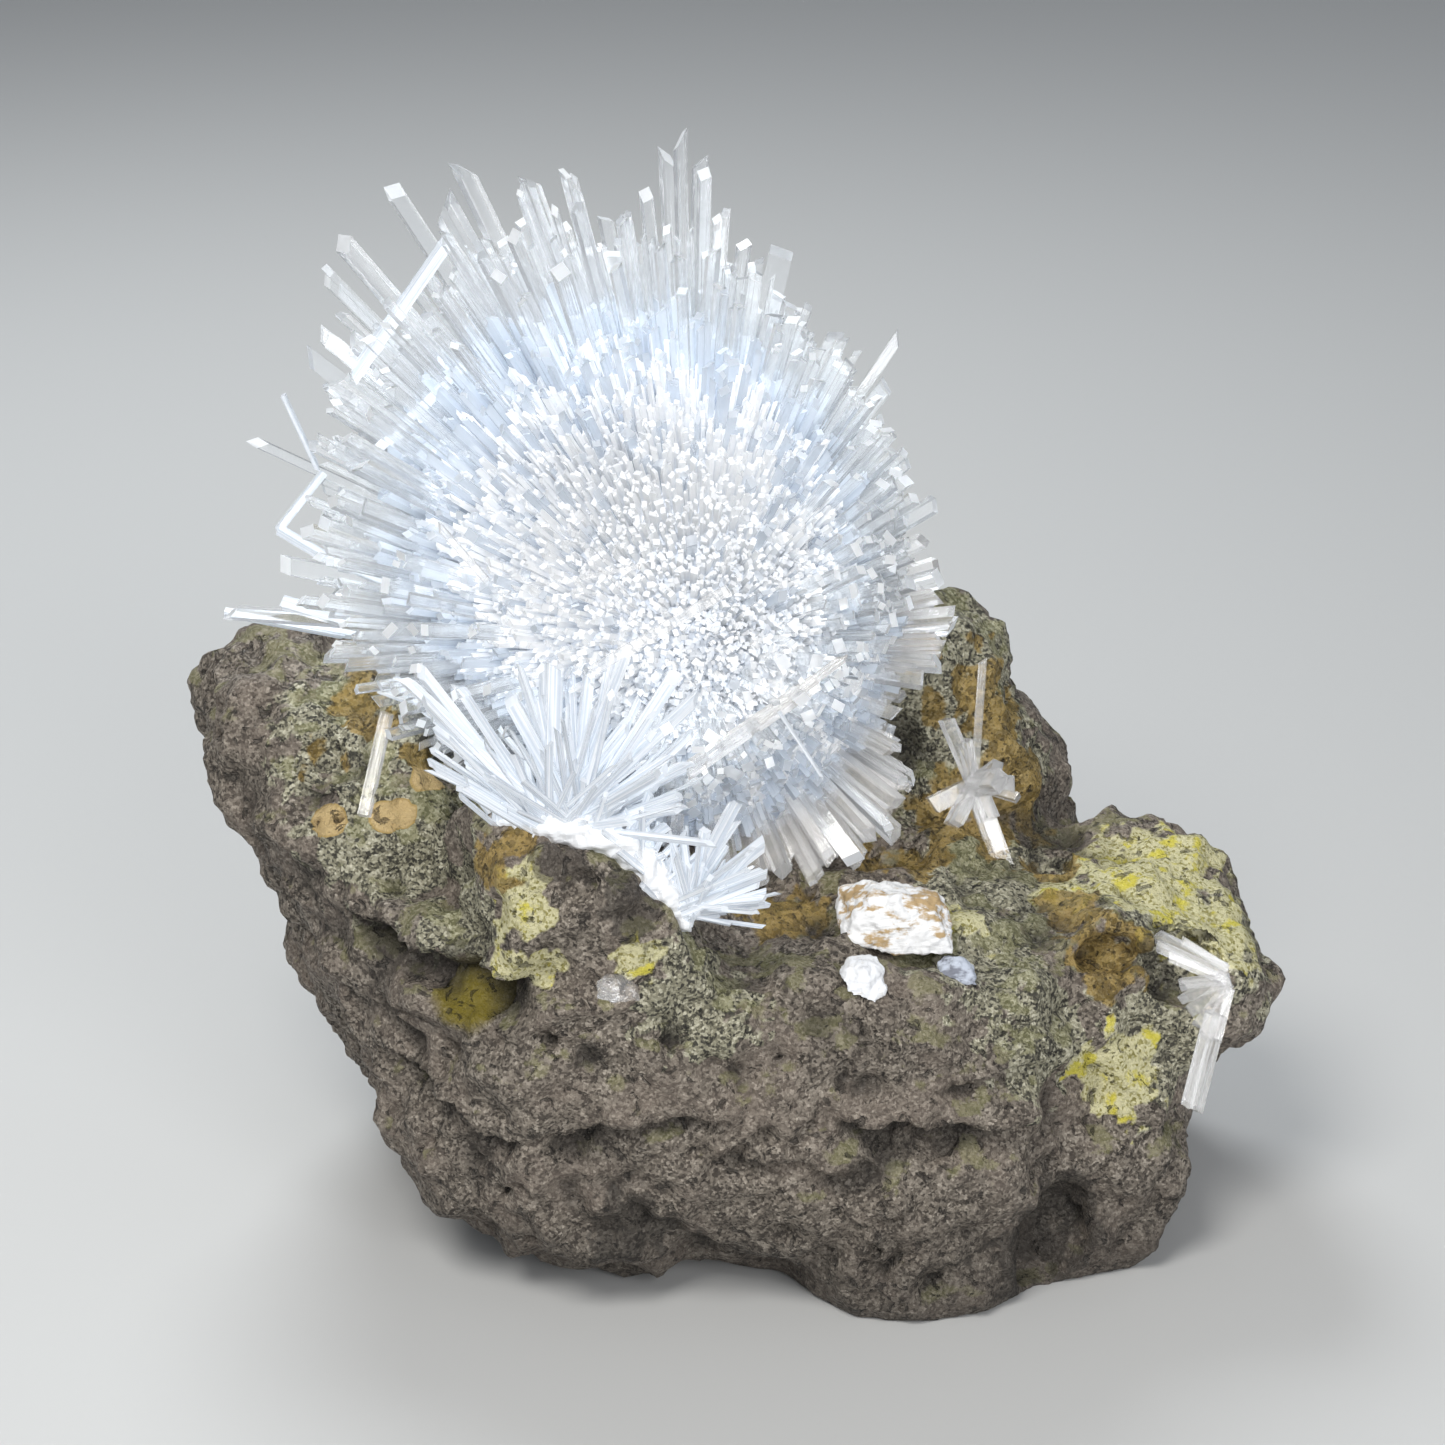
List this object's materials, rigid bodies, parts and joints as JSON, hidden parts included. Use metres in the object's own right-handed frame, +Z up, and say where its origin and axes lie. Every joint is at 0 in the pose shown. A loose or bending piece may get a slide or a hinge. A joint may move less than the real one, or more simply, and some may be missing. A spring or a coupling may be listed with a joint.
{
  "type": "scolecite specimen",
  "caption": "Mineral specimen: a ball of clear needle crystals on the wall of a broken cavity in brown-grey basalt, with small sprays on the rim and white grains on the ledge.",
  "frame": {"origin": "on the flat that the rock stands on, below the middle of the crystal ball", "axes": "+Z up; +Y away from the showing side, towards the cavity's back wall; +X to the right as seen from the showing side"},
  "size_m": [0.113, 0.0669, 0.112],
  "materials": {
    "basalt": "rough, sugary broken rock with ochre and yellow-green coatings in its pockets",
    "scolecite": "packed milky white to clear needles with glassy faces",
    "clear_scolecite": "clear glassy crystal",
    "altered_white": "chalky white with tan stain"
  },
  "bodies": {
    "root": {"basalt_matrix": "basalt", "scolecite_spray": "scolecite", "wall_crystal_cluster": "clear_scolecite", "pocket_crystal_cluster": "clear_scolecite", "leaning_needle": "clear_scolecite", "face_crystal": "clear_scolecite", "large_white_grain": "altered_white", "small_white_grain": "altered_white", "grey_grain": "altered_white"}
  },
  "joints": []
}
